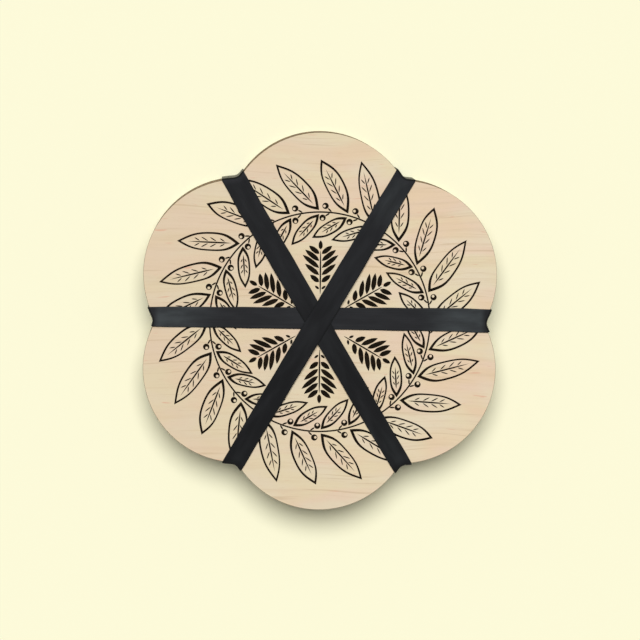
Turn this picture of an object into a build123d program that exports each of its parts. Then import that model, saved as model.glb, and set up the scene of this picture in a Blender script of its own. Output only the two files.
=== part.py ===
from build123d import *

import os
from math import cos, pi, radians, sin, sqrt, tan

# A six-lobed flower press: two plywood boards, a stack of corrugated cards and blotting papers
# between them, and three flat rubber bands that hold it shut.
# Millimetres, +Z up. The origin is under the middle of the press, at the lowest point of the
# bands, which is where the press stands. +Y points to the lobe at the top of the board.

# Boards: six round lobes whose centres lie on a circle, with a rounded notch between them
LOBE_COUNT = 6
LOBE_RADIUS = 43.0
LOBE_CENTRE_RADIUS = 43.0
NOTCH_RADIUS = 5.0
BOARD_THICKNESS = 4.0
BOARD_EDGE_RADIUS = 0.3

# Sheets: each pressing layer is two papers with the flowers between, and a card on each side
PRESSING_LAYERS = 6
SHEET_INSET = 0.1
SHEET_GAP = 0.1
PAPER_THICKNESS = 0.5
CARD_THICKNESS = 1.6

# Corrugated card: two liners with a wavy paper between them, whose flutes run along Y
LINER_THICKNESS = 0.25
FLUTE_PAPER_THICKNESS = 0.2
FLUTE_PITCH = 3.4
FLUTE_FOOT_SHARE = 0.78
FLUTE_SHOULDER_SHARE = 0.36
FLUTE_SHOULDER_HEIGHT_SHARE = 0.72

# Rubber bands: each lies in two opposite notches and goes all the way round
BAND_WIDTH = 10.0
BAND_THICKNESS = 0.8
BAND_GAP = 0.05
BAND_SEAT_RUN = 3.0

# How each band lies: its angle from +X in degrees, and how far it has slipped sideways.
# They are in the order in which they were put on, so each one crosses over those before it.
LEVEL_BAND_ANGLE = -0.2
LEVEL_BAND_SLIP = 1.7
FALLING_BAND_ANGLE = 120.8
FALLING_BAND_SLIP = 1.0
RISING_BAND_ANGLE = 59.6
RISING_BAND_SLIP = 0.8
BAND_LIES = {
    "band_level": (LEVEL_BAND_ANGLE, LEVEL_BAND_SLIP),
    "band_falling": (FALLING_BAND_ANGLE, FALLING_BAND_SLIP),
    "band_rising": (RISING_BAND_ANGLE, RISING_BAND_SLIP),
}

# Heights that follow from the sizes above
BAND_STEP = BAND_THICKNESS + BAND_GAP
BOTTOM_BOARD_Z = len(BAND_LIES) * BAND_STEP
CARD_COUNT = PRESSING_LAYERS + 1
PAPER_COUNT = 2 * PRESSING_LAYERS
SHEETS_HEIGHT = (
    CARD_COUNT * CARD_THICKNESS
    + PAPER_COUNT * PAPER_THICKNESS
    + (CARD_COUNT + PAPER_COUNT + 1) * SHEET_GAP
)
FIRST_SHEET_Z = BOTTOM_BOARD_Z + BOARD_THICKNESS + SHEET_GAP
TOP_BOARD_Z = BOTTOM_BOARD_Z + BOARD_THICKNESS + SHEETS_HEIGHT
PRESS_TOP_Z = TOP_BOARD_Z + BOARD_THICKNESS

# The outline's plan: a lobe points along +Y, and the notches lie half way between lobes
HALF_STEP = pi / LOBE_COUNT
LOBE_ANGLES = [pi / 2 + 2 * HALF_STEP * k for k in range(LOBE_COUNT)]
NOTCH_CENTRE_RADIUS = LOBE_CENTRE_RADIUS * cos(HALF_STEP) + sqrt(
    (LOBE_RADIUS + NOTCH_RADIUS) ** 2 - (LOBE_CENTRE_RADIUS * sin(HALF_STEP)) ** 2
)
NOTCH_FLOOR_RADIUS = NOTCH_CENTRE_RADIUS - NOTCH_RADIUS
LOBE_TIP_RADIUS = LOBE_CENTRE_RADIUS + LOBE_RADIUS
OVERRUN = LOBE_RADIUS


def on_circle(radius, angle):
    """The point at that radius and angle, in the plan."""
    return Vector(radius * cos(angle), radius * sin(angle))


def lobed_face(offset):
    """The board's outline moved outwards by offset, as a face: lobe and notch arcs by turns."""
    edges = []
    for angle in LOBE_ANGLES:
        lobe = on_circle(LOBE_CENTRE_RADIUS, angle)
        before = on_circle(NOTCH_CENTRE_RADIUS, angle - HALF_STEP)
        after = on_circle(NOTCH_CENTRE_RADIUS, angle + HALF_STEP)
        following = on_circle(LOBE_CENTRE_RADIUS, angle + 2 * HALF_STEP)
        reach = LOBE_RADIUS + offset
        lobe_start = lobe + (before - lobe).normalized() * reach
        lobe_end = lobe + (after - lobe).normalized() * reach
        next_start = following + (after - following).normalized() * reach
        tip = on_circle(LOBE_TIP_RADIUS + offset, angle)
        floor = on_circle(NOTCH_FLOOR_RADIUS + offset, angle + HALF_STEP)
        edges.append(ThreePointArc(lobe_start, tip, lobe_end))
        edges.append(ThreePointArc(lobe_end, floor, next_start))
    return Face(Wire(edges))


def lobed_plate(offset, low_z, thickness, edge_radius=0):
    """A flat plate with the lobed outline, its two rims rounded if edge_radius is given."""
    plate = extrude(Pos(0, 0, low_z) * lobed_face(offset), amount=thickness, dir=(0, 0, 1))
    if edge_radius:
        levels = plate.edges().group_by(Axis.Z)
        plate = fillet(levels[0] + levels[-1], edge_radius)
    return plate


def flute_void(middle_x, foot_z, crest_z):
    """The edge loop of one flute's hollow, from its wide foot on a liner to its round crest."""
    half_foot = FLUTE_FOOT_SHARE * FLUTE_PITCH / 2
    half_shoulder = FLUTE_SHOULDER_SHARE * FLUTE_PITCH / 2
    shoulder_z = foot_z + FLUTE_SHOULDER_HEIGHT_SHARE * (crest_z - foot_z)
    left_foot = Vector(middle_x - half_foot, -OVERRUN - LOBE_TIP_RADIUS, foot_z)
    right_foot = Vector(middle_x + half_foot, left_foot.Y, foot_z)
    left_shoulder = Vector(middle_x - half_shoulder, left_foot.Y, shoulder_z)
    right_shoulder = Vector(middle_x + half_shoulder, left_foot.Y, shoulder_z)
    crest = Vector(middle_x, left_foot.Y, crest_z)
    return Wire(
        [
            Line(left_foot, right_foot),
            Line(right_foot, right_shoulder),
            ThreePointArc(right_shoulder, crest, left_shoulder),
            Line(left_shoulder, left_foot),
        ]
    )


def corrugated_card():
    """One card lying on Z 0: the section with its hollows, drawn along Y and cut to the outline."""
    low_liner = LINER_THICKNESS
    high_liner = CARD_THICKNESS - LINER_THICKNESS
    flutes_each_side = int(LOBE_TIP_RADIUS / FLUTE_PITCH) + 1
    half_width = (flutes_each_side + 1) * FLUTE_PITCH
    start_y = -OVERRUN - LOBE_TIP_RADIUS
    corners = [
        Vector(-half_width, start_y, 0),
        Vector(half_width, start_y, 0),
        Vector(half_width, start_y, CARD_THICKNESS),
        Vector(-half_width, start_y, CARD_THICKNESS),
    ]
    hollows = []
    for flute in range(-flutes_each_side, flutes_each_side + 1):
        middle = flute * FLUTE_PITCH
        hollows.append(flute_void(middle, low_liner, high_liner - FLUTE_PAPER_THICKNESS))
        hollows.append(
            flute_void(middle + FLUTE_PITCH / 2, high_liner, low_liner + FLUTE_PAPER_THICKNESS)
        )
    section = Face(Wire.make_polygon(corners, close=True), hollows)
    block = extrude(section, amount=-2 * start_y, dir=(0, 1, 0))
    return block & lobed_plate(-SHEET_INSET, 0, CARD_THICKNESS)


def crossing_span(angle, slip, below):
    """Where, along a band, it lies over the bands below it: the lowest and highest place."""
    low, high = 0, 0
    for other_angle, other_slip in below:
        between = radians(other_angle - angle)
        middle = (slip * cos(between) - other_slip) / sin(between)
        reach = BAND_WIDTH / 2 * (1 / abs(sin(between)) + 1 / abs(tan(between)))
        low = min(low, middle - reach)
        high = max(high, middle + reach)
    return low, high


def band_run(half_length, crossing, lift, face_z, outward):
    """The straight part of a band over one face: it rises from each rim to clear the crossing.
    face_z is the band's inner side at the rim, and outward is 1 on top and -1 underneath."""
    low, high = crossing
    inner = [(-half_length, 0), (low, lift), (high, lift), (half_length, 0)]
    if not lift:
        inner = [inner[0], inner[-1]]
    outer = [(s, rise + BAND_THICKNESS) for s, rise in reversed(inner)]
    points = [Vector(s, -BAND_WIDTH / 2, face_z + outward * rise) for s, rise in inner + outer]
    side = Face(Wire.make_polygon(points, close=True))
    return extrude(side, amount=BAND_WIDTH, dir=(0, 1, 0))


def rubber_band(angle, slip, below):
    """One closed band: two runs, and two ends that follow the notches round the boards' rims."""
    place = Rot(0, 0, angle) * Pos(0, slip, 0)
    run_end = NOTCH_FLOOR_RADIUS - BOARD_EDGE_RADIUS - BAND_SEAT_RUN
    end_length = LOBE_TIP_RADIUS - run_end
    height = PRESS_TOP_Z - BOTTOM_BOARD_Z
    outer = lobed_plate(
        BAND_STEP,
        BOTTOM_BOARD_Z - BAND_STEP,
        height + 2 * BAND_STEP,
        BOARD_EDGE_RADIUS + BAND_STEP,
    )
    inner = lobed_plate(
        BAND_GAP,
        BOTTOM_BOARD_Z - BAND_GAP,
        height + 2 * BAND_GAP,
        BOARD_EDGE_RADIUS + BAND_GAP,
    )
    lift = len(below) * BAND_STEP
    crossing = crossing_span(angle, slip, below)
    top_run = band_run(run_end, crossing, lift, PRESS_TOP_Z + BAND_GAP, 1)
    bottom_run = band_run(run_end, crossing, lift, BOTTOM_BOARD_Z - BAND_GAP, -1)
    band = place * (top_run + bottom_run)
    for side in (-1, 1):
        middle = Vector(side * (run_end + end_length / 2), 0, BOTTOM_BOARD_Z + height / 2)
        reach = Pos(*middle) * Box(end_length, BAND_WIDTH, height + 2 * OVERRUN)
        band += (place * reach) & outer - inner
    return band


def place_sheets():
    """Cards and papers from the bottom board up, by name: card, then paper, flowers, paper, card."""
    card = corrugated_card()
    paper = lobed_plate(-SHEET_INSET, 0, PAPER_THICKNESS)
    order = [("card_1", card, CARD_THICKNESS)]
    for layer in range(1, PRESSING_LAYERS + 1):
        order.append((f"blotter_{layer}_lower", paper, PAPER_THICKNESS))
        order.append((f"blotter_{layer}_upper", paper, PAPER_THICKNESS))
        order.append((f"card_{layer + 1}", card, CARD_THICKNESS))
    sheets, low_z = {}, FIRST_SHEET_Z
    for name, shape, thickness in order:
        sheets[name] = Pos(0, 0, low_z) * shape
        low_z += thickness + SHEET_GAP
    return sheets


def make_press():
    """Every piece of the press, by name."""
    pieces = {
        "bottom_board": lobed_plate(0, BOTTOM_BOARD_Z, BOARD_THICKNESS, BOARD_EDGE_RADIUS),
        "top_board": lobed_plate(0, TOP_BOARD_Z, BOARD_THICKNESS, BOARD_EDGE_RADIUS),
    }
    pieces.update(place_sheets())
    below = []
    for name, (angle, slip) in BAND_LIES.items():
        pieces[name] = rubber_band(angle, slip, below)
        below.append((angle, slip))
    return pieces


os.makedirs("parts", exist_ok=True)
for name, piece in make_press().items():
    piece.label = name
    export_step(piece, f"parts/{name}.step")
    print(name, "solids", len(piece.solids()), "volume", round(piece.volume, 1))
print("tip to tip", 2 * LOBE_TIP_RADIUS, "notch floor radius", round(NOTCH_FLOOR_RADIUS, 2))
print("boards and sheets", round(PRESS_TOP_Z - BOTTOM_BOARD_Z, 2))
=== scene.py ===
# %% [markdown]
# # A flower press
# A flower press squeezes fresh flowers flat while they dry. This one has two six-lobed plywood boards
# with a stack of corrugated cards and blotting papers between them, and three wide rubber bands pull the
# boards together. The boards, cards and papers come from the CAD model, which is loaded here as a fixed
# frame. The lesson gives them their finishes, models the stretched bands, and prints a wreath on the top
# board. All lengths are in metres, and the press stands on z = 0.

# %% Load the CAD frame
import math
import random

import bmesh
import bpy
from mathutils import Matrix, Vector


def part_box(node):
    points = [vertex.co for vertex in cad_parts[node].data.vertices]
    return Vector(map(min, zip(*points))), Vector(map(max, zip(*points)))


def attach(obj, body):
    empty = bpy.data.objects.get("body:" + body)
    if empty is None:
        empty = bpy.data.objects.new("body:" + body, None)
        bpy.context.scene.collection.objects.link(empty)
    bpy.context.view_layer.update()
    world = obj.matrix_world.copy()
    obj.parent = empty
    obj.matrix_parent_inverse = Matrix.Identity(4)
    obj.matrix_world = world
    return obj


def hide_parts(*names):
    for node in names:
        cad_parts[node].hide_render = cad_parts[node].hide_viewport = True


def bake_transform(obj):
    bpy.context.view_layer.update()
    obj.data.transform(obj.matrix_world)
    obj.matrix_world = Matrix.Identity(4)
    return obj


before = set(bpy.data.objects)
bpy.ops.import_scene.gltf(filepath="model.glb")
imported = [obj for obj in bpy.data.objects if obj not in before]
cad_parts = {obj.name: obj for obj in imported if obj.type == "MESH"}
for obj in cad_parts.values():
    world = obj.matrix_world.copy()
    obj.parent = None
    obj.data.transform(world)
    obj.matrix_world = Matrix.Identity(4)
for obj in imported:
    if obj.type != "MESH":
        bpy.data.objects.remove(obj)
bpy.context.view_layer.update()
MM = 0.001

# %% Read the heights of the two boards
bottom_low, bottom_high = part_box("bottom_board")
top_low, top_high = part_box("top_board")
print("bottom board from", round(bottom_low.z / MM, 2), "to", round(bottom_high.z / MM, 2), "mm")
print("top board from", round(top_low.z / MM, 2), "to", round(top_high.z / MM, 2), "mm")

# %% [markdown]
# ## The camera
# The press is seen from almost straight above, 1.4 metres away, leaning five degrees and mostly towards
# +Y. A camera can be aimed with a constraint, but here its three axes are worked out by hand: `back`
# points from the press to the lens, `up` is the part of +Y that is square to it, and `right` follows from
# those two. A small roll then turns the picture. The lens is chosen so that a known width, at the height
# of the top board, fills the picture.

# %% Look down on the press
PICTURE_PIXELS = 640
PICTURE_WIDTH = 290.6 * MM
MIDDLE_PIXEL = (319.9, 322.05)
CAMERA_DISTANCE = 1.4
CAMERA_TILT = math.radians(5.0)
CAMERA_LEAN = math.radians(108.0)
CAMERA_ROLL = math.radians(0.56)
SENSOR_WIDTH = 36.0

back = Vector((math.cos(CAMERA_LEAN), math.sin(CAMERA_LEAN), 0)) * math.sin(CAMERA_TILT)
back.z = math.cos(CAMERA_TILT)
north = Vector((0, 1, 0))
level_up = (north - back * north.dot(back)).normalized()
level_right = level_up.cross(back)
right = math.cos(CAMERA_ROLL) * level_right + math.sin(CAMERA_ROLL) * level_up
up = back.cross(right)

bpy.ops.object.camera_add()
camera = bpy.context.object
camera.name = "camera"
camera.data.sensor_width = SENSOR_WIDTH
camera.data.lens = SENSOR_WIDTH * CAMERA_DISTANCE / PICTURE_WIDTH
pixel_size = PICTURE_WIDTH / PICTURE_PIXELS
aside = right * (PICTURE_PIXELS / 2 - MIDDLE_PIXEL[0]) * pixel_size
above = up * (MIDDLE_PIXEL[1] - PICTURE_PIXELS / 2) * pixel_size
lens_place = Vector((0, 0, top_high.z)) + back * CAMERA_DISTANCE + aside + above
lens_turn = Matrix((right, up, back)).transposed().to_4x4()
camera.matrix_world = Matrix.Translation(lens_place) @ lens_turn
bpy.context.scene.camera = camera
bpy.context.scene.view_settings.view_transform = "Standard"
print("lens", round(camera.data.lens, 1), "mm at", [round(length, 3) for length in lens_place])

# %% [markdown]
# ## Nodes, in short
# Every finish below is a small tree of shader nodes. A helper that adds a node and fills its inputs, with
# values or with links, keeps those trees short enough to read. The patterns are noises whose grains have
# real sizes: a noise that is long along X and thin along Y looks like wood grain, and a fine one looks
# like paper fibre. A noise stays near its middle, 0.5, and hardly ever leaves the range from 0.3 to 0.7.

# %% Helpers for nodes
def add_node(tree, kind, inputs=None, **options):
    """Add a node, set its options, and fill its inputs with values or with other nodes' outputs."""
    node = tree.nodes.new(kind)
    for name, value in options.items():
        setattr(node, name, value)
    for name, value in (inputs or {}).items():
        if isinstance(value, bpy.types.NodeSocket):
            tree.links.new(value, node.inputs[name])
        else:
            node.inputs[name].default_value = value
    return node


def new_finish(name):
    """A material, its node tree and its Principled shader."""
    material = bpy.data.materials.new(name)
    material.use_nodes = True
    return material, material.node_tree, material.node_tree.nodes["Principled BSDF"]


def object_place(tree):
    """Where a point lies on the piece, in metres."""
    return add_node(tree, "ShaderNodeTexCoord").outputs["Object"]


def part_of(tree, vector, axis):
    """The X, Y or Z part of a vector."""
    return add_node(tree, "ShaderNodeSeparateXYZ", {"Vector": vector}).outputs[axis]


def calculate(tree, operation, first, second=0.0):
    """The result of a Math node."""
    return add_node(tree, "ShaderNodeMath", {0: first, 1: second}, operation=operation).outputs[0]


def rise(tree, value, low, high, start=0.0, end=1.0):
    """A smooth step from start, where value is low, to end, where it is high."""
    inputs = {"Value": value, "From Min": low, "From Max": high, "To Min": start, "To Max": end}
    node = add_node(tree, "ShaderNodeMapRange", inputs, interpolation_type="SMOOTHSTEP")
    return node.outputs["Result"]


print("node helpers are ready")

# %% Helpers for patterns
NOISE_LOW, NOISE_MIDDLE, NOISE_HIGH = 0.3, 0.5, 0.7
MIX_COLOURS = (6, 7)
MIX_RESULT = 2


def grains(tree, where, size, detail=3.0, roughness=0.5, distortion=0.0):
    """Noise from 0 to 1 whose grains are about as long along each axis as size says, in metres."""
    scale = [1 / length for length in size]
    mapping = add_node(tree, "ShaderNodeMapping", {"Vector": where, "Scale": scale})
    inputs = {
        "Vector": mapping.outputs["Vector"],
        "Scale": 1.0,
        "Detail": detail,
        "Roughness": roughness,
        "Distortion": distortion,
    }
    return add_node(tree, "ShaderNodeTexNoise", inputs).outputs["Fac"]


def blend_colours(tree, share, first, second, how="MIX"):
    """The first colour where share is 0, going over to the second where it is 1."""
    pair = [(*colour, 1.0) if isinstance(colour, tuple) else colour for colour in (first, second)]
    inputs = {0: share, MIX_COLOURS[0]: pair[0], MIX_COLOURS[1]: pair[1]}
    node = add_node(tree, "ShaderNodeMix", inputs, data_type="RGBA", blend_type=how)
    return node.outputs[MIX_RESULT]


def lay_grains(tree, where, colour, over, grain, start, full, share=1.0, how="MIX", **noise):
    """Lay another colour over the first, from where a noise passes start, up to its share at full."""
    shown = rise(tree, grains(tree, where, grain, **noise), start, full, 0.0, share)
    return blend_colours(tree, shown, colour, over, how)


def set_colour(tree, shader, colour):
    """Link a colour to the shader."""
    tree.links.new(colour, shader.inputs["Base Color"])


def set_roughness(tree, shader, noise, levels):
    """Let the roughness go from one level to another as a noise rises."""
    tree.links.new(rise(tree, noise, NOISE_LOW, NOISE_HIGH, *levels), shader.inputs["Roughness"])


def set_relief(tree, shader, height, depth, strength):
    """Bump the surface by up to depth metres where height is 1."""
    bump = add_node(tree, "ShaderNodeBump", {"Height": height, "Distance": depth, "Strength": strength})
    tree.links.new(bump.outputs["Normal"], shader.inputs["Normal"])


print("pattern helpers are ready")

# %% [markdown]
# ## The floor and the light
# A product shot like this is lit by one large soft lamp above the table, so the shadow has no hard edge.
# A sun with a wide angle gives the same even light all over the boards, which a nearby area lamp
# wouldn't. The world fills the shadow. Together they add up to about 1, so that a colour renders about as
# it is written. The camera sees a cream background, and so do shiny surfaces.

# %% Lay the floor and light it
CREAM = (0.991, 0.965, 0.701)
FLOOR_WIDTH = 8.0
FLOOR_COLOUR = (0.954, 0.931, 0.686)
SUN_STRENGTH = 3.01
SUN_SPREAD = math.radians(32)
SUN_LEAN = (math.radians(-18.2), math.radians(-1.5), 0)
FILL_COLOUR = (1.0, 1.0, 0.90)
FILL_STRENGTH = 0.12

bpy.ops.object.select_all(action="DESELECT")
bpy.ops.mesh.primitive_plane_add(size=FLOOR_WIDTH)
floor = bpy.context.object
floor.name = "floor"
floor_finish, _, floor_shader = new_finish("floor_paper")
floor_shader.inputs["Base Color"].default_value = (*FLOOR_COLOUR, 1.0)
floor_shader.inputs["Roughness"].default_value = 1.0
floor_shader.inputs["Specular IOR Level"].default_value = 0.0
floor.data.materials.append(floor_finish)

bpy.ops.object.light_add(type="SUN", rotation=SUN_LEAN)
sun = bpy.context.object
sun.name = "soft_lamp"
sun.data.energy = SUN_STRENGTH
sun.data.angle = SUN_SPREAD

world = bpy.data.worlds.new("studio")
world.use_nodes = True
bpy.context.scene.world = world
sky = world.node_tree
fill = sky.nodes["Background"]
fill.inputs["Strength"].default_value = FILL_STRENGTH
fill.inputs["Color"].default_value = (*FILL_COLOUR, 1.0)
backdrop = add_node(sky, "ShaderNodeBackground", {"Color": (*CREAM, 1.0), "Strength": 1.0})
ray = add_node(sky, "ShaderNodeLightPath")
mirrored = calculate(sky, "MAXIMUM", ray.outputs["Is Glossy Ray"], ray.outputs["Is Transmission Ray"])
seen = calculate(sky, "MAXIMUM", ray.outputs["Is Camera Ray"], mirrored)
both = add_node(sky, "ShaderNodeMixShader", {0: seen, 1: fill.outputs[0], 2: backdrop.outputs[0]})
sky.links.new(both.outputs[0], sky.nodes["World Output"].inputs["Surface"])
print("floor", FLOOR_WIDTH, "m wide, sun", SUN_STRENGTH, "and fill", FILL_STRENGTH)

# %% [markdown]
# ## Birch veneer
# The boards are thin birch plywood, and their faces are pale veneer: soft patches of peach and honey,
# faint streaks along X, a few growth lines, fine flecks and short pink marks. All of these run in slow
# waves, as no grain is quite straight. A picture of wood would be quicker, but a pattern made from noises
# of real sizes stays sharp close up.

# %% Colour the veneer
PALE_VENEER = (0.726, 0.624, 0.456)
PEACH_VENEER = (0.736, 0.560, 0.420)
HONEY_TINT = (1.0, 0.995, 0.90)
SHADE_VENEER = (0.655, 0.528, 0.368)
STREAK_TAN = (0.600, 0.455, 0.300)
LINE_TAN = (0.500, 0.360, 0.215)
MARK_PINK = (0.660, 0.370, 0.250)
DRIFT_SPAN = 85 * MM
DRIFT_SHARE = 0.50
WAVE_GRAIN = (50 * MM, 24 * MM, 24 * MM)
WAVE_SIZE = 7.0 * MM
PATCH_GRAIN = (42 * MM, 13 * MM, 13 * MM)
HONEY_GRAIN = (27 * MM, 10 * MM, 10 * MM)
STREAK_GRAIN = (60 * MM, 1.6 * MM, 1.6 * MM)
GROWTH_GRAIN = (46 * MM, 1.0 * MM, 1.0 * MM)
FLECK_GRAIN = (5.0 * MM, 0.45 * MM, 0.45 * MM)
MARK_GRAIN = (11.0 * MM, 1.1 * MM, 1.1 * MM)
VENEER_PATCHES = (
    dict(over=PEACH_VENEER, grain=PATCH_GRAIN, start=0.36, full=0.64, detail=2.0, distortion=0.3),
    dict(over=HONEY_TINT, grain=HONEY_GRAIN, start=0.36, full=0.64, detail=2.0, how="MULTIPLY"),
)
VENEER_LINES = (
    dict(over=STREAK_TAN, grain=STREAK_GRAIN, start=0.45, full=0.72, share=0.34, detail=4.0, roughness=0.6),
    dict(over=LINE_TAN, grain=GROWTH_GRAIN, start=0.64, full=0.73, share=0.42, detail=1.0, distortion=0.3),
    dict(over=LINE_TAN, grain=FLECK_GRAIN, start=0.60, full=0.70, share=0.13, detail=2.0),
    dict(over=MARK_PINK, grain=MARK_GRAIN, start=0.70, full=0.78, share=0.75, detail=1.0, distortion=0.4),
)


def wavy_place(tree, where):
    """The same place, shifted across the grain in slow waves, so that no streak runs quite straight."""
    wave = calculate(tree, "SUBTRACT", grains(tree, where, WAVE_GRAIN, detail=1.0), NOISE_MIDDLE)
    shift = calculate(tree, "MULTIPLY", wave, WAVE_SIZE)
    offset = add_node(tree, "ShaderNodeCombineXYZ", {"Y": shift}).outputs["Vector"]
    moved = add_node(tree, "ShaderNodeVectorMath", {0: where, 1: offset}, operation="ADD")
    return moved.outputs["Vector"]


def veneer_colour(tree, where):
    """Pale birch: peach and honey patches, darker towards -X, under streaks, lines, flecks and marks."""
    where = wavy_place(tree, where)
    colour = PALE_VENEER
    for patches in VENEER_PATCHES:
        colour = lay_grains(tree, where, colour, **patches)
    drift = rise(tree, part_of(tree, where, "X"), -DRIFT_SPAN, DRIFT_SPAN, DRIFT_SHARE, 0.0)
    colour = blend_colours(tree, drift, colour, SHADE_VENEER)
    for lines in VENEER_LINES:
        colour = lay_grains(tree, where, colour, **lines)
    return colour


print("veneer has", len(VENEER_PATCHES), "kinds of patches and", len(VENEER_LINES), "kinds of lines")

# %% [markdown]
# ## The cut wall
# A laser burns its way through a board, so the cut wall is brown and patchy. It also shows how plywood is
# made: three layers with dark lines of glue between them, and the grain of the middle one runs crosswise.
# The layers could be modelled one by one, but each board is a single solid, so their colours are chosen
# by height instead. The wall and its rounded rim are found by their normals, which keeps the faces pale.

# %% Colour the cut wall
SCORCH_LIGHT = (0.175, 0.112, 0.056)
SCORCH_DARK = (0.065, 0.038, 0.019)
CORE_SHADE = (0.62, 0.60, 0.56)
SCORCH_GRAIN = (5.0 * MM, 5.0 * MM, 9.0 * MM)
END_GRAIN = (0.5 * MM, 0.5 * MM, 3.0 * MM)
BURNT_PATCHES = dict(over=SCORCH_DARK, grain=SCORCH_GRAIN, start=0.35, full=0.65)
END_FIBRES = dict(over=SCORCH_DARK, grain=END_GRAIN, start=0.40, full=0.70, share=0.35)
PLIES = 3
CORE_BLUR_SHARE = 0.1
FACE_PLY_GRAIN = (6.0 * MM, 0.30 * MM, 0.16 * MM)
CORE_PLY_GRAIN = (0.30 * MM, 6.0 * MM, 0.16 * MM)
PLY_RANGE = (0.42, 0.66)
PLY_SHARE = 0.55
GLUE_LINE = 0.10 * MM
GLUE_RANGE = (GLUE_LINE / 3, GLUE_LINE)
GLUE_SHARE = 0.75
WALL_SLOPE, FACE_SLOPE = 0.60, 0.92


def scorched_colour(tree, where, low_z, high_z):
    """The laser-cut wall: brown and patchy, with a darker core glued crosswise between two face layers."""
    colour = lay_grains(tree, where, SCORCH_LIGHT, **BURNT_PATCHES)
    middle = (low_z + high_z) / 2
    half_core = (high_z - low_z) / PLIES / 2
    blur = half_core * CORE_BLUR_SHARE
    off_middle = calculate(tree, "ABSOLUTE", calculate(tree, "SUBTRACT", part_of(tree, where, "Z"), middle))
    core = rise(tree, off_middle, half_core - blur, half_core + blur, 1.0, 0.0)
    colour = blend_colours(tree, core, colour, CORE_SHADE, "MULTIPLY")
    face_ply, core_ply = grains(tree, where, FACE_PLY_GRAIN), grains(tree, where, CORE_PLY_GRAIN)
    crosswise = calculate(tree, "MULTIPLY", core, calculate(tree, "SUBTRACT", core_ply, face_ply))
    ply = rise(tree, calculate(tree, "ADD", face_ply, crosswise), *PLY_RANGE, 0.0, PLY_SHARE)
    colour = blend_colours(tree, ply, colour, SCORCH_DARK)
    from_glue = calculate(tree, "ABSOLUTE", calculate(tree, "SUBTRACT", off_middle, half_core))
    glue = rise(tree, from_glue, *GLUE_RANGE, GLUE_SHARE, 0.0)
    colour = blend_colours(tree, glue, colour, SCORCH_DARK)
    return lay_grains(tree, where, colour, **END_FIBRES)


def upright_share(tree):
    """1 on an upright wall and 0 on a level face."""
    normal = add_node(tree, "ShaderNodeNewGeometry").outputs["Normal"]
    slope = calculate(tree, "ABSOLUTE", part_of(tree, normal, "Z"))
    return rise(tree, slope, WALL_SLOPE, FACE_SLOPE, 1.0, 0.0)


print("the plywood has", PLIES, "layers of", round((top_high.z - top_low.z) / PLIES / MM, 2), "mm")

# %% Finish the boards
PORE_GRAIN = (2.0 * MM, 0.12 * MM, 0.12 * MM)
PORE_DEPTH = 0.05 * MM
PORE_RELIEF = 0.35
PLYWOOD_ROUGHNESS = (0.52, 0.66)
PLYWOOD_SHINE = 0.3


def plywood(name, low_z, high_z):
    """The finish of one board that lies between two heights."""
    material, tree, shader = new_finish(name)
    where = object_place(tree)
    face, wall = veneer_colour(tree, where), scorched_colour(tree, where, low_z, high_z)
    set_colour(tree, shader, blend_colours(tree, upright_share(tree), face, wall))
    pore = grains(tree, where, PORE_GRAIN)
    set_roughness(tree, shader, pore, PLYWOOD_ROUGHNESS)
    shader.inputs["Specular IOR Level"].default_value = PLYWOOD_SHINE
    set_relief(tree, shader, pore, PORE_DEPTH, PORE_RELIEF)
    return material


def dress(node, material):
    """Give a CAD node its finish in every slot."""
    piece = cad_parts[node]
    if not piece.material_slots:
        piece.data.materials.append(material)
    for slot in piece.material_slots:
        slot.material = material


dress("bottom_board", plywood("birch_plywood_bottom", bottom_low.z, bottom_high.z))
dress("top_board", plywood("birch_plywood_top", top_low.z, top_high.z))
print("boards finished in birch plywood")

# %% [markdown]
# ## Cards and papers
# The corrugated cards are brown kraft board, so their cut edges show two liners and a wavy middle: the
# waves are real, in the CAD. The finish needs only the colour of kraft, with pale and dark fibres. The
# blotting papers are soft and off-white. All were cut with the boards by the same laser, so their edges
# are toasted brown, the kraft more than the paper. Both are dull all over, so roughness stays high, and a
# fine bump keeps them from looking like plastic.

# %% Choose the colours of card and paper
KRAFT = (0.395, 0.250, 0.125)
KRAFT_DARK = (0.270, 0.160, 0.075)
KRAFT_PALE = (0.520, 0.370, 0.215)
KRAFT_TOASTED = (0.115, 0.075, 0.036)
KRAFT_ROUGHNESS = (0.80, 0.88)
BLOTTER = (0.640, 0.590, 0.470)
BLOTTER_SHADE = (0.530, 0.475, 0.360)
BLOTTER_PALE = (0.720, 0.680, 0.570)
BLOTTER_TOASTED = (0.220, 0.162, 0.090)
BLOTTER_ROUGHNESS = (0.87, 0.95)
CLOUD_GRAIN = (14 * MM, 14 * MM, 14 * MM)
CLOUD_SHARE = 0.5
FIBRE_GRAIN = (1.5 * MM, 0.15 * MM, 0.15 * MM)
CROSS_FIBRE_GRAIN = (0.15 * MM, 1.5 * MM, 0.15 * MM)
FIBRE_DETAIL = 2.0
DARK_FIBRE_RANGE = (0.55, 0.75)
PALE_FIBRE_RANGE = (0.58, 0.75)
FIBRE_SHARE = 0.5
FIBRE_DEPTH = 0.05 * MM
FIBRE_RELIEF = 0.4
TOASTED_SHARES = (0.80, 1.0)
PAPER_SHINE = 0.2
print("fibres are", round(FIBRE_GRAIN[0] / MM, 1), "mm long")


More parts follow.
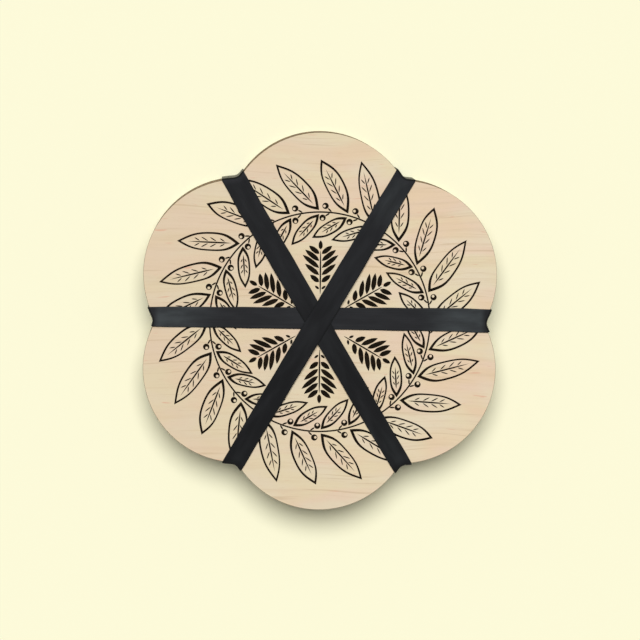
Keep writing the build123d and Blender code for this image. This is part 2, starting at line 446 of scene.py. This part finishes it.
# %% Finish the cards and papers
def pressed_fibres(name, middle, shade, pale, toasted, roughness):
    """A paper finish: cloudy tone, dark and pale fibres lying both ways, and toasted edges."""
    material, tree, shader = new_finish(name)
    where = object_place(tree)
    colour = lay_grains(tree, where, middle, shade, CLOUD_GRAIN, NOISE_LOW, NOISE_HIGH, CLOUD_SHARE)
    along = grains(tree, where, FIBRE_GRAIN, FIBRE_DETAIL)
    across = grains(tree, where, CROSS_FIBRE_GRAIN, FIBRE_DETAIL)
    colour = blend_colours(tree, rise(tree, along, *DARK_FIBRE_RANGE, 0.0, FIBRE_SHARE), colour, shade)
    colour = blend_colours(tree, rise(tree, across, *PALE_FIBRE_RANGE, 0.0, FIBRE_SHARE), colour, pale)
    burn = rise(tree, grains(tree, where, SCORCH_GRAIN), NOISE_LOW, NOISE_HIGH, *TOASTED_SHARES)
    edge = calculate(tree, "MULTIPLY", burn, upright_share(tree))
    set_colour(tree, shader, blend_colours(tree, edge, colour, toasted))
    set_roughness(tree, shader, along, roughness)
    shader.inputs["Specular IOR Level"].default_value = PAPER_SHINE
    set_relief(tree, shader, calculate(tree, "ADD", along, across), FIBRE_DEPTH, FIBRE_RELIEF)
    return material


kraft_tones = (KRAFT, KRAFT_DARK, KRAFT_PALE, KRAFT_TOASTED)
kraft = pressed_fibres("kraft_card", *kraft_tones, KRAFT_ROUGHNESS)
blotter_tones = (BLOTTER, BLOTTER_SHADE, BLOTTER_PALE, BLOTTER_TOASTED)
blotting = pressed_fibres("blotting_paper", *blotter_tones, BLOTTER_ROUGHNESS)
cards = [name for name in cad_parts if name.startswith("card_")]
papers = [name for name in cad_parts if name.startswith("blotter_")]
for name in cards:
    dress(name, kraft)
for name in papers:
    dress(name, blotting)
print(len(cards), "cards and", len(papers), "papers finished")

# %% [markdown]
# ## Where a band meets the boards
# Each band runs through two opposite notches, and there it bends round the boards' rims and takes on the
# curve of the notch. So the band's ends need to know how far away the wall is at each place across their
# width. The wall is six round lobes joined by six small hollow arcs. All twelve are folded into one sixth
# of a turn, where only one lobe and one hollow are left, and a search along the band then finds the wall.

# %% Find the wall of the boards
LOBES = 6
LOBE_RADIUS = 43.0 * MM
NOTCH_RADIUS = 5.0 * MM
SECTOR = 2 * math.pi / LOBES
WALL_SEARCHES = 40

lobe_reach = top_high.y
lobe_middle = (lobe_reach - LOBE_RADIUS) * Vector((math.cos(SECTOR / 2), math.sin(SECTOR / 2)))
hollow_reach = math.sqrt((LOBE_RADIUS + NOTCH_RADIUS) ** 2 - lobe_middle.y**2)
hollow_middle = Vector((lobe_middle.x + hollow_reach, 0))
hollow_edge = math.atan2(lobe_middle.y, hollow_reach)


def past_wall(x, y):
    """How far a point lies outside the wall, or as a negative number inside it."""
    turned = (math.atan2(y, x) + SECTOR / 2) % SECTOR - SECTOR / 2
    spot = math.hypot(x, y) * Vector((math.cos(turned), abs(math.sin(turned))))
    from_hollow = hollow_middle - spot
    if math.atan2(spot.y, from_hollow.x) < hollow_edge:
        return NOTCH_RADIUS - from_hollow.length
    return (spot - lobe_middle).length - LOBE_RADIUS


def wall_along(turn, slip, across, side, gap):
    """How far a band runs from its middle, at one place across it, until it is a gap outside the wall."""
    lie = Matrix.Rotation(turn, 2)
    low, high = 0.0, lobe_reach
    for _ in range(WALL_SEARCHES):
        middle = (low + high) / 2
        spot = lie @ Vector((side * middle, across + slip))
        if past_wall(spot.x, spot.y) < gap:
            low = middle
        else:
            high = middle
    return low


notch_floor = wall_along(0, 0, 0, 1, 0)
print("notch floor", round(notch_floor / MM, 2), "mm from the middle")

# %% [markdown]
# ## The rubber bands
# A band is a flat closed strip of black rubber, about ten millimetres wide and under one thick, pulled
# round both boards. It could be bent from a straight strip, but it's easier to walk round its path. A
# grid makes half of the top run, its end is spun over the rim, extruded down the wall, spun again and
# extruded back underneath. Mirror makes the other half. All three bands start out alike.

# %% Helpers for modelling
def select_where(test):
    """In edit mode, select the points whose place passes the test, and the edges and faces between them."""
    mesh = bpy.context.object.data
    editing = bmesh.from_edit_mesh(mesh)
    for vertex in editing.verts:
        vertex.select_set(test(vertex.co))
    editing.select_flush_mode()
    bmesh.update_edit_mesh(mesh)


def push(offset):
    """Extrude what is selected by an offset."""
    bpy.ops.mesh.extrude_region_move(TRANSFORM_OT_translate={"value": offset})


def close_seams(gap):
    """Merge the points of the active piece that lie within a gap, and turn all its faces outwards."""
    bpy.ops.object.mode_set(mode="EDIT")
    bpy.ops.mesh.select_all(action="SELECT")
    bpy.ops.mesh.remove_doubles(threshold=gap)
    bpy.ops.mesh.normals_make_consistent(inside=False)
    bpy.ops.object.mode_set(mode="OBJECT")


def apply_modifier(piece, kind, **settings):
    """Add a modifier to a piece and apply it."""
    bpy.context.view_layer.objects.active = piece
    modifier = piece.modifiers.new(kind.lower(), kind)
    for name, value in settings.items():
        setattr(modifier, name, value)
    bpy.ops.object.modifier_apply(modifier=modifier.name)


def smooth_step(value, low, high):
    """0 below low, 1 above high, and smooth between."""
    share = min(max((value - low) / (high - low), 0.0), 1.0)
    return share * share * (3 - 2 * share)


print("modelling helpers are ready")

# %% Set the bands' sizes and how they lie
BAND_WIDTH = 10.0 * MM
BAND_THICKNESS = 0.8 * MM
BAND_GAP = 0.05 * MM
MERGE_GAP = 0.005 * MM
RIM_RADIUS = 0.3 * MM
BAND_STEP = BAND_THICKNESS + BAND_GAP
BAND_LIES = {
    "band_level": (math.radians(-0.2), 1.7 * MM),
    "band_falling": (math.radians(120.8), 1.0 * MM),
    "band_rising": (math.radians(59.6), 0.8 * MM),
}
RUN_STEPS = 34
WIDTH_STEPS = 16
BEND_STEPS = 8
WALL_STEPS = 6

inner_radius = RIM_RADIUS + BAND_GAP
run_length = notch_floor + BAND_GAP - inner_radius
over_z = top_high.z + BAND_GAP
under_z = bottom_low.z - BAND_GAP
print("each run is", round(2 * run_length / MM, 1), "mm long, between", len(BAND_LIES), "pairs of notches")


# %% Model straight bands
def straight_band(name):
    """A closed strip along X: the inner side of a band round two level rims."""
    bpy.ops.object.select_all(action="DESELECT")
    bpy.ops.mesh.primitive_grid_add(x_subdivisions=RUN_STEPS, y_subdivisions=WIDTH_STEPS, size=1)
    band = bpy.context.object
    band.name = band.data.name = name
    bpy.ops.object.mode_set(mode="EDIT")
    bpy.ops.mesh.select_mode(type="VERT")
    bpy.ops.transform.resize(value=(run_length, BAND_WIDTH, 1))
    bpy.ops.transform.translate(value=(run_length / 2, 0, over_z))
    select_where(lambda spot: spot.x > run_length - BAND_GAP)
    bend = {"steps": BEND_STEPS, "angle": -math.pi / 2, "axis": (0, 1, 0)}
    bpy.ops.mesh.spin(center=(run_length, 0, over_z - inner_radius), **bend)
    wall_height = over_z - under_z - 2 * inner_radius
    for _ in range(WALL_STEPS):
        push((0, 0, -wall_height / WALL_STEPS))
    bpy.ops.mesh.spin(center=(run_length, 0, under_z + inner_radius), **bend)
    for _ in range(RUN_STEPS):
        push((-run_length / RUN_STEPS, 0, 0))
    bpy.ops.object.mode_set(mode="OBJECT")
    bpy.ops.object.transform_apply()
    apply_modifier(band, "MIRROR", use_axis=(True, False, False), merge_threshold=MERGE_GAP)
    close_seams(MERGE_GAP)
    return band


bands = {node: straight_band(f"rubber_{node}") for node in BAND_LIES}
for band in bands.values():
    print(band.name, "is a strip of", len(band.data.polygons), "faces")

# %% [markdown]
# ## How the bands lie
# The bands were put on one after another, so at the crossing the second climbs over the first, and the
# third over both. At its ends each band takes on the curve of the notch, and its width wavers a little, as
# hand-stretched rubber does. A cloth simulation could find such shapes, but formulas that move each row of
# the strip are quicker and give the widths that are wanted. Solidify then gives the strip its thickness,
# Bevel rounds its long edges, and a UV map keeps track of the way the rubber runs.

# %% Ease the bands into their notches and over their neighbours
NOTCH_RUN = 9.0 * MM
EASE = 1.5 * MM
EASE_STEPS = (-1, 0, 1)
WIDTH_SHARES = {
    "band_level": (0.91, 1.0, 1.08),
    "band_falling": (0.90, 1.0, 1.08),
    "band_rising": (0.945, 1.02, 1.01),
}
WAVER = 0.09 * MM
WAVER_LENGTHS = (31 * MM, 17 * MM)
WAVER_TURN = 2.0
DRIFT_RUN = 14.0 * MM
END_DRIFTS = {
    "band_level": {-1: -0.14 * MM, 1: -0.34 * MM},
    "band_falling": {-1: -0.16 * MM, 1: -0.41 * MM},
    "band_rising": {-1: -0.20 * MM, 1: -0.09 * MM},
}


def crossing_span(lie, below):
    """Where, along a band, it lies over the bands below it: the lowest and highest place."""
    turn, slip = lie
    low, high = 0.0, 0.0
    for other_turn, other_slip in below:
        between = other_turn - turn
        middle = (slip * math.cos(between) - other_slip) / math.sin(between)
        reach = BAND_WIDTH / 2 * (1 / abs(math.sin(between)) + 1 / abs(math.tan(between)))
        low, high = min(low, middle - reach), max(high, middle + reach)
    return low, high


def climb(along, span):
    """How far a run has climbed, from 0 at the rim to 1 where it lies over other bands."""
    rim = run_length
    if along < span[0]:
        return min(max((along + rim) / (span[0] + rim), 0.0), 1.0)
    if along > span[1]:
        return min(max((rim - along) / (rim - span[1]), 0.0), 1.0)
    return 1.0


def eased_climb(along, span):
    """The climb with its corners rounded off, as rubber rounds them."""
    return sum(climb(along + step * EASE, span) for step in EASE_STEPS) / len(EASE_STEPS)


def band_width_share(node, along):
    """The band's width at one place along it, as a share of its width at rest."""
    left_end, middle, right_end = WIDTH_SHARES[node]
    share = along / run_length
    return middle + (right_end - left_end) / 2 * share + ((left_end + right_end) / 2 - middle) * share**2


def waver(along, seed):
    """A small unevenness of a band's edge."""
    waves = [math.sin(2 * math.pi * along / length + seed) for length in WAVER_LENGTHS]
    return sum(waves) * WAVER / len(waves)


def ease_band(band, node, below):
    """Move the rows of a straight band to where they lie on the press."""
    turn, slip = BAND_LIES[node]
    lift = len(below) * BAND_STEP
    span = crossing_span(BAND_LIES[node], below)
    middle_z = (over_z + under_z) / 2
    floors = {}
    for vertex in band.data.vertices:
        spot = vertex.co
        side = 1 if spot.x > 0 else -1
        edge = spot.y / (BAND_WIDTH / 2)
        across = spot.y * band_width_share(node, spot.x)
        across += abs(edge) * waver(spot.x, len(below) + WAVER_TURN * edge)
        across += END_DRIFTS[node][side] * smooth_step(abs(spot.x), run_length - DRIFT_RUN, run_length)
        key = (side, round(across / MM, 3))
        if key not in floors:
            floors[key] = wall_along(turn, slip, across, side, BAND_GAP)
        shift = floors[key] - (run_length + inner_radius)
        up_or_down = 1 if spot.z > middle_z else -1
        on_run = abs(spot.z - middle_z) > (over_z - under_z) / 2 - MERGE_GAP
        if lift and on_run:
            spot.z += up_or_down * lift * eased_climb(spot.x, span)
        spot.x += side * shift * smooth_step(abs(spot.x), run_length - NOTCH_RUN, run_length)
        spot.y = across


for place, (node, band) in enumerate(bands.items()):
    ease_band(band, node, below=list(BAND_LIES.values())[:place])
print("the bands climb in steps of", round(BAND_STEP / MM, 2), "mm")

# %% Thicken the bands, map them and lay them on the press
EDGE_ROUNDING = 0.22 * MM
EDGE_SEGMENTS = 2
CREASE_ANGLE = math.radians(40)
BAND_MAP = "band_map"


def map_band(band):
    """A UV map in metres: across the band, and along it from the middle of the top run."""
    mesh = band.data
    for layer in list(mesh.uv_layers):
        mesh.uv_layers.remove(layer)
    layer = mesh.uv_layers.new(name=BAND_MAP)
    half_round = run_length + (over_z - under_z)
    for face in mesh.polygons:
        side = 1 if face.center.x > 0 else -1
        for corner in face.loop_indices:
            spot = mesh.vertices[mesh.loops[corner].vertex_index].co
            if spot.z >= over_z:
                along = spot.x
            elif spot.z <= under_z:
                along = side * (half_round + run_length - abs(spot.x))
            else:
                along = side * (run_length + over_z - spot.z)
            layer.data[corner].uv = (spot.y, along)


def finish_band(band, lie):
    """Give the strip its thickness, rounded edges and UV map, then turn it to its lie."""
    apply_modifier(band, "SOLIDIFY", thickness=BAND_THICKNESS, offset=1.0, use_even_offset=True)
    apply_modifier(
        band,
        "BEVEL",
        width=EDGE_ROUNDING,
        segments=EDGE_SEGMENTS,
        limit_method="ANGLE",
        angle_limit=CREASE_ANGLE,
    )
    map_band(band)
    turn, slip = lie
    band.rotation_euler.z = turn
    band.location = Matrix.Rotation(turn, 3, "Z") @ Vector((0, slip, 0))
    bpy.ops.object.select_all(action="DESELECT")
    band.select_set(True)
    bpy.context.view_layer.objects.active = band
    bpy.ops.object.transform_apply()
    bpy.ops.object.shade_smooth_by_angle(angle=CREASE_ANGLE)


for node, band in bands.items():
    finish_band(band, BAND_LIES[node])
    print(band.name, "has", len(band.data.polygons), "faces")

# %% [markdown]
# ## Black rubber
# Cut rubber band is nearly black, with a dull sheen. Fine lines run along it from the cutting, so light
# spreads across the band more than along it: that is anisotropy, and the UV map tells the shader which
# way the lines go. A pale bloom, as on all stored rubber, lightens it in patches. Near some ends a paler
# grey is painted into the colour as sheen, a painted highlight, most on the lowest band.

# %% Finish the bands
RUBBER_BLACK = (0.0040, 0.0042, 0.0052)
RUBBER_BLOOM = (0.0095, 0.0100, 0.0116)
# The next colour is a painted sheen: a paler grey laid into the colour near the band ends, standing in for
# light caught there.
RUBBER_PAINTED_SHEEN = (0.034, 0.040, 0.043)
RUBBER_ROUGHNESS = (0.44, 0.54)
SHEEN_TINT = (0.86, 0.88, 1.0)
SHEENS = {"band_level": 0.10, "band_falling": 0.095, "band_rising": 0.085}
BLOOM_GRAIN = (6 * MM, 22 * MM, MM)
BLOOM_DETAIL = 4.0
BLOOM_RANGE = (0.35, 0.70)
# Where along the bands the painted sheen starts, is full, fades and stops, and how much of it each band
# gets at each end.
PAINTED_SHEEN_FROM, PAINTED_SHEEN_FULL = 43 * MM, 65 * MM
PAINTED_SHEEN_LAST, PAINTED_SHEEN_OVER = 72.6 * MM, 75.6 * MM
PAINTED_SHEEN_SHARES = {"band_level": (1.0, 1.0), "band_falling": (0.15, 0.0), "band_rising": (0.0, 0.35)}
PAINTED_SHEEN_RANGE = (0.30, 0.65)
PAINTED_SHEEN_LEAST = 0.35
LINE_GRAIN = (0.25 * MM, 40 * MM, MM)
LINE_DEPTH = 0.03 * MM
LINE_RELIEF = 0.25
LINE_SPREAD = 0.6


def painted_sheen_share(tree, where, patches, ends):
    """How much painted sheen lies near a band's two ends: in patches, and none where it bends down."""
    length = part_of(tree, where, "Y")
    from_middle = calculate(tree, "ABSOLUTE", length)
    most = rise(tree, length, -PAINTED_SHEEN_FROM, PAINTED_SHEEN_FROM, *ends)
    start = rise(tree, from_middle, PAINTED_SHEEN_FROM, PAINTED_SHEEN_FULL)
    stop = rise(tree, from_middle, PAINTED_SHEEN_LAST, PAINTED_SHEEN_OVER, 1.0, 0.0)
    spread = calculate(tree, "MULTIPLY", most, calculate(tree, "MULTIPLY", start, stop))
    return calculate(tree, "MULTIPLY", spread, rise(tree, patches, *PAINTED_SHEEN_RANGE, PAINTED_SHEEN_LEAST, 1.0))


def black_rubber(node):
    """Nearly black, with lines along the band, a patchy bloom and a painted sheen near some ends."""
    material, tree, shader = new_finish(f"black_rubber_{node}")
    where = add_node(tree, "ShaderNodeUVMap", uv_map=BAND_MAP).outputs["UV"]
    patches = grains(tree, where, BLOOM_GRAIN, BLOOM_DETAIL)
    colour = blend_colours(tree, rise(tree, patches, *BLOOM_RANGE), RUBBER_BLACK, RUBBER_BLOOM)
    # Painted sheen near the ends, laid into the base colour.
    painted_sheen = painted_sheen_share(tree, where, patches, PAINTED_SHEEN_SHARES[node])
    set_colour(tree, shader, blend_colours(tree, painted_sheen, colour, RUBBER_PAINTED_SHEEN))
    lines = grains(tree, where, LINE_GRAIN)
    set_roughness(tree, shader, lines, RUBBER_ROUGHNESS)
    shader.inputs["Specular IOR Level"].default_value = SHEENS[node]
    shader.inputs["Specular Tint"].default_value = (*SHEEN_TINT, 1.0)
    shader.inputs["Anisotropic"].default_value = LINE_SPREAD
    tangent = add_node(tree, "ShaderNodeTangent", direction_type="UV_MAP", uv_map=BAND_MAP)
    tree.links.new(tangent.outputs["Tangent"], shader.inputs["Tangent"])
    set_relief(tree, shader, lines, LINE_DEPTH, LINE_RELIEF)
    return material


for node, band in bands.items():
    band.data.materials.append(black_rubber(node))
    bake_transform(band)
    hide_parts(node)
print(len(bands), "bands finished in black rubber")

# %% [markdown]
# ## The print
# The top board carries a black print: a wreath of leaves and berries, and six ferns in the fields between
# the bands. A print could be painted in the wood's nodes, but as thin filled outlines it stays sharp at
# any distance and can be modelled by hand. Each leaf is a few flat closed curves: an outline, the hole in
# it, a rib and some veins, with their ends pointed by their handles. Filled and converted, they become a
# mesh a few hundredths of a millimetre thick. Only a handful of patterns is drawn, to be copied later.

# %% Draw a pointed shape
CURVE_STEPS = 8
POINT_FLARE_SHARE = 0.75
BELLY_PULL_SHARE = 0.5


def bezier_ring(radius):
    """A round flat curve of four points, whose handles can be moved one by one."""
    bpy.ops.object.select_all(action="DESELECT")
    bpy.ops.curve.primitive_bezier_circle_add(radius=radius)
    shape = bpy.context.object
    shape.data.resolution_u = CURVE_STEPS
    for point in shape.data.splines[0].bezier_points:
        point.handle_left_type = point.handle_right_type = "FREE"
    return shape


def pointed_shape(start, end, half_width, belly=0.5, lean=0.0, taper=0.35):
    """A closed flat curve, widest at belly, a share of its length, and more pointed the more it tapers."""
    shape = bezier_ring(1)
    start, end = Vector(start), Vector(end)
    along = end - start
    before, after = along * belly, along * (1 - belly)
    sideways = Vector((-along.y, along.x)).normalized() * half_width
    widest = start + before + sideways * lean
    left, right_side = widest + sideways, widest - sideways
    flare = sideways * POINT_FLARE_SHARE
    into, out_of = before * BELLY_PULL_SHARE, after * BELLY_PULL_SHARE
    first, last = start + before * taper, end - after * taper
    corners = [
        (first - flare, start, first + flare),
        (left - into, left, left + out_of),
        (last + flare, end, last - flare),
        (right_side + out_of, right_side, right_side - into),
    ]
    for point, corner in zip(shape.data.splines[0].bezier_points, corners):
        point.handle_left, point.co, point.handle_right = [spot.to_3d() for spot in corner]
    return shape


print("a shape has", CURVE_STEPS, "steps from one of its points to the next")

# %% Fill shapes with ink
INK_ABOVE = 0.025 * MM
INK_BELOW = 0.015 * MM
INK_MERGE_GAP = 0.0015 * MM


def fill_shapes(name, shapes):
    """Join flat closed curves into one filled piece of ink, where a curve inside another is a hole."""
    bpy.ops.object.select_all(action="DESELECT")
    for shape in shapes:
        shape.select_set(True)
    bpy.context.view_layer.objects.active = shapes[0]
    if len(shapes) > 1:
        bpy.ops.object.join()
    ink = bpy.context.object
    ink.name = name
    ink.data.dimensions = "2D"
    ink.data.fill_mode = "BOTH"
    ink.data.extrude = (INK_ABOVE + INK_BELOW) / 2
    bpy.ops.object.convert(target="MESH")
    close_seams(INK_MERGE_GAP)
    return bpy.context.object


print("ink is", round((INK_ABOVE + INK_BELOW) / MM, 3), "mm thick")

# %% Draw the leaves
INK_LINE = 0.80 * MM
LONG_LEAVES = (28.5 * MM, 29.5 * MM, 27.5 * MM)
LONG_HALF_WIDTH = 4.3 * MM
LONG_VEINS = 4
SHORT_LEAVES = (19.0 * MM, 20.0 * MM, 18.5 * MM)
SHORT_HALF_WIDTH = 2.9 * MM
SHORT_VEINS = 3
BELLY_SHARES = (0.40, 0.50)
LEAN_SHARES = (-0.12, 0.12)
HOLE_GAPS = (2.6 * INK_LINE, 2.2 * INK_LINE)
RIB_GAPS = (2.2 * INK_LINE, 4.0 * INK_LINE)
RIB_HALF_WIDTH = 0.45 * INK_LINE
RIB_BELLY_SHARE = 0.35
VEIN_HALF_WIDTH = 0.32 * INK_LINE
VEIN_GAP = 0.65 * INK_LINE
VEIN_SLANT = 1.6
VEIN_REACH_SHARE = 0.62
VEIN_REACH_SPREAD = (0.88, 1.0)
VEINS_BEFORE, VEINS_SPARE = 0.8, 1.2
LONGEST_VEIN_SHARE = 0.4
VEIN_FALL_SHARE = 0.8
PRINT_SEED = 7
random.seed(PRINT_SEED)


def vein_reach(vein, veins, half_width):
    """How far a vein runs sideways: furthest in the lower half of the leaf, and less towards both ends."""
    from_longest = abs(vein - veins * LONGEST_VEIN_SHARE) / veins
    return (half_width - INK_LINE) * VEIN_REACH_SHARE * (1 - from_longest * VEIN_FALL_SHARE)


def outlined_leaf(name, length, half_width, veins):
    """A leaf in outline, with a rib and slanted veins."""
    belly = random.uniform(*BELLY_SHARES)
    lean = random.uniform(*LEAN_SHARES)
    hole = (HOLE_GAPS[0], length - HOLE_GAPS[1])
    rib = (hole[0] + RIB_GAPS[0], hole[1] - RIB_GAPS[1])
    shapes = [
        pointed_shape((0, 0), (length, 0), half_width, belly, lean),
        pointed_shape((hole[0], 0), (hole[1], 0), half_width - INK_LINE, belly, lean),
        pointed_shape((rib[0], 0), (rib[1], 0), RIB_HALF_WIDTH, RIB_BELLY_SHARE),
    ]
    for vein in range(veins):
        foot = rib[0] + (rib[1] - rib[0]) * (vein + VEINS_BEFORE) / (veins + VEINS_SPARE)
        reach = vein_reach(vein, veins, half_width)
        for side in (-1, 1):
            end = VEIN_GAP + reach * random.uniform(*VEIN_REACH_SPREAD)
            ends = (foot, side * VEIN_GAP), (foot + VEIN_SLANT * reach, side * end)
            shapes.append(pointed_shape(*ends, VEIN_HALF_WIDTH))
    return fill_shapes(name, shapes)


def outlined_leaves(kind, lengths, half_width, veins):
    """One leaf of each length."""
    names = [f"{kind}_leaf_{number}" for number in range(len(lengths))]
    return [outlined_leaf(name, length, half_width, veins) for name, length in zip(names, lengths)]


long_leaves = outlined_leaves("long", LONG_LEAVES, LONG_HALF_WIDTH, LONG_VEINS)
short_leaves = outlined_leaves("short", SHORT_LEAVES, SHORT_HALF_WIDTH, SHORT_VEINS)
print(len(long_leaves + short_leaves), "different leaves drawn")

# %% Draw a berry and the wreath's stem
BERRY_RADIUS = 1.45 * MM
GLINT_SHARE = 0.42
GLINT_OFFSET_SHARES = (0.22, 0.28)
STALK_LENGTH = 4.4 * MM
STALK_GAP = 0.65 * MM
STALK_HALF_WIDTH = 0.45 * INK_LINE
STALK_BERRY_SHARE = 1.03
BLUNT_TAPER = 0.05
STEM_WIDTH = 0.7 * MM
STEM_CURVE_STEPS = 48
WREATH_RADIUS = 50.0 * MM


def round_shape(radius, middle=(0, 0)):
    """A flat round curve."""
    shape = bezier_ring(radius)
    offset = Vector((*middle, 0))
    for point in shape.data.splines[0].bezier_points:
        spots = (point.handle_left, point.co, point.handle_right)
        point.handle_left, point.co, point.handle_right = [spot + offset for spot in spots]
    return shape


def berry(name):
    """A round berry with a small pale glint, on a short stalk that starts beside the stem."""
    glint_offset = [share * BERRY_RADIUS for share in GLINT_OFFSET_SHARES]
    stalk_end = STALK_LENGTH - BERRY_RADIUS * STALK_BERRY_SHARE
    stalk = pointed_shape((STALK_GAP, 0), (stalk_end, 0), STALK_HALF_WIDTH, taper=BLUNT_TAPER)
    glint = round_shape(BERRY_RADIUS * GLINT_SHARE, (STALK_LENGTH + glint_offset[0], glint_offset[1]))
    return fill_shapes(name, [round_shape(BERRY_RADIUS, (STALK_LENGTH, 0)), glint, stalk])


def ring_stem(name, radius):
    """A thin ring that the leaves grow from."""
    shapes = [round_shape(radius + STEM_WIDTH / 2), round_shape(radius - STEM_WIDTH / 2)]
    for shape in shapes:
        shape.data.resolution_u = STEM_CURVE_STEPS
    return fill_shapes(name, shapes)


stalked_berry = berry("stalked_berry")
wreath_stem = ring_stem("wreath_stem", WREATH_RADIUS)
print("berry", round(2 * BERRY_RADIUS / MM, 1), "mm wide")

# %% Draw the parts of a fern
FERN_STEM = (12.5 * MM, 32.6 * MM)
FERN_TIP = 32.3 * MM
TIP_LENGTH = 4.2 * MM
LEAFLET_FIRST = 14.6 * MM
LEAFLET_STEP = 3.2 * MM
LEAFLET_LENGTHS = (2.4 * MM, 5.2 * MM, 8.2 * MM, 9.6 * MM, 8.2 * MM, 6.0 * MM)
LEAFLET_HALF_WIDTH = 1.1 * MM
LEAFLET_SLIM_SHARE = 0.22
LEAFLET_BELLY_SHARE = 0.42


def leaflet(name, length):
    """A small leaf of solid ink."""
    half_width = min(LEAFLET_HALF_WIDTH, LEAFLET_SLIM_SHARE * length)
    return fill_shapes(name, [pointed_shape((0, 0), (length, 0), half_width, LEAFLET_BELLY_SHARE)])


leaflets = [leaflet(f"leaflet_{n}", length) for n, length in enumerate(LEAFLET_LENGTHS)]
tip_leaflet = leaflet("tip_leaflet", TIP_LENGTH)
fern_ends = [(end, 0) for end in FERN_STEM]
fern_stem = fill_shapes("fern_stem", [pointed_shape(*fern_ends, STEM_WIDTH / 2, taper=BLUNT_TAPER)])
print("a fern has", 2 * len(leaflets) + 1, "leaflets")

# %% [markdown]
# ## Laying the print
# The wreath has twenty-four sprigs, each with a long leaf outside the stem, a short leaf inside it and two
# berries. A fern stands in each of the six fields between the bands. An Array modifier would repeat one
# sprig exactly, but a loop can take the leaves in turn and lean each a little differently, as a hand
# would. Every copy has its own mesh, and all are then joined, because the print is one layer of ink.

# %% Lay the wreath
WREATH_SPRIGS = 24
LONG_LEAN = math.radians(-48)
SHORT_LEAN = math.radians(46)
BERRY_LEAN = math.radians(38)
BERRY_SHARES = {-1: 0.60, 1: 0.66}
STEM_GAP = 1.2 * MM
TURN_SPREAD = math.radians(3)

ink_middle = top_high.z + (INK_ABOVE - INK_BELOW) / 2
sprig_turn = 2 * math.pi / WREATH_SPRIGS
laid = []


def lay(pattern, radius, angle, heading, gap):
    """Copy a pattern to a place on a ring, with its own mesh, pointing along a heading."""
    copy = pattern.copy()
    copy.data = pattern.data.copy()
    bpy.context.collection.objects.link(copy)
    foot = radius * Vector((math.cos(angle), math.sin(angle), 0))
    foot += gap * Vector((math.cos(heading), math.sin(heading), 0))
    foot.z = ink_middle
    copy.matrix_world = Matrix.Translation(foot) @ Matrix.Rotation(heading, 4, "Z")
    laid.append(copy)


lay(wreath_stem, 0, 0, 0, 0)
for sprig in range(WREATH_SPRIGS):
    angle = sprig_turn * sprig
    for leaves, lean in ((long_leaves, LONG_LEAN), (short_leaves, SHORT_LEAN)):
        heading = angle + math.pi / 2 + lean + random.uniform(-TURN_SPREAD, TURN_SPREAD)
        lay(leaves[sprig % len(leaves)], WREATH_RADIUS, angle, heading, STEM_GAP)
    for side, share in BERRY_SHARES.items():
        berry_angle = angle + sprig_turn * share
        heading = berry_angle + math.pi / 2 + side * BERRY_LEAN
        lay(stalked_berry, WREATH_RADIUS, berry_angle, heading, 0)
print(len(laid), "pieces of ink laid round the wreath")

# %% Lay a fern in each field between the bands
LEAFLET_LEAN = math.radians(52)
LEAFLET_GAP = 0.7 * MM

for field in range(LOBES):
    angle = SECTOR * field + SECTOR / 2
    lay(fern_stem, 0, angle, angle, 0)
    lay(tip_leaflet, FERN_TIP, angle, angle, LEAFLET_GAP)
    for pair, pattern in enumerate(leaflets):
        foot = LEAFLET_FIRST + pair * LEAFLET_STEP
        for side in (-1, 1):
            lay(pattern, foot, angle, angle + side * LEAFLET_LEAN, LEAFLET_GAP)
print(len(laid), "pieces of ink laid in all")

# %% Join the print
drawn = long_leaves + short_leaves + leaflets + [stalked_berry, wreath_stem, tip_leaflet, fern_stem]
for pattern in drawn:
    bpy.data.objects.remove(pattern)
bpy.ops.object.select_all(action="DESELECT")
for piece in laid:
    piece.select_set(True)
bpy.context.view_layer.objects.active = laid[0]
bpy.ops.object.join()
leaf_print = bpy.context.object
leaf_print.name = leaf_print.data.name = "leaf_print"
bpy.ops.object.transform_apply()
print("leaf print has", len(leaf_print.data.polygons), "faces")

# %% [markdown]
# ## Printing ink
# The ink is a warm black that has sunk into the wood, so it's dull, and the grain shows through it as
# slightly paler lines. The print could take a plain black, but it would look like a sticker, so its noise
# is the one that streaks the veneer, waved in the same way.

# %% Finish the print and let it ride on the lid
INK_BLACK = (0.0052, 0.0034, 0.0017)
INK_WORN = (0.0190, 0.0105, 0.0046)
INK_STREAKS = dict(over=INK_WORN, grain=STREAK_GRAIN, start=0.45, full=0.75, detail=5.0, roughness=0.6)
INK_ROUGHNESS = (0.62, 0.75)
INK_SHINE = 0.04


def printing_ink():
    """Warm black that thins along the grain of the wood under it."""
    material, tree, shader = new_finish("printing_ink")
    where = wavy_place(tree, object_place(tree))
    set_colour(tree, shader, lay_grains(tree, where, INK_BLACK, **INK_STREAKS))
    set_roughness(tree, shader, grains(tree, where, PORE_GRAIN), INK_ROUGHNESS)
    shader.inputs["Specular IOR Level"].default_value = INK_SHINE
    return material


leaf_print.data.materials.append(printing_ink())
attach(leaf_print, "lid")
print("print finished in warm black ink")
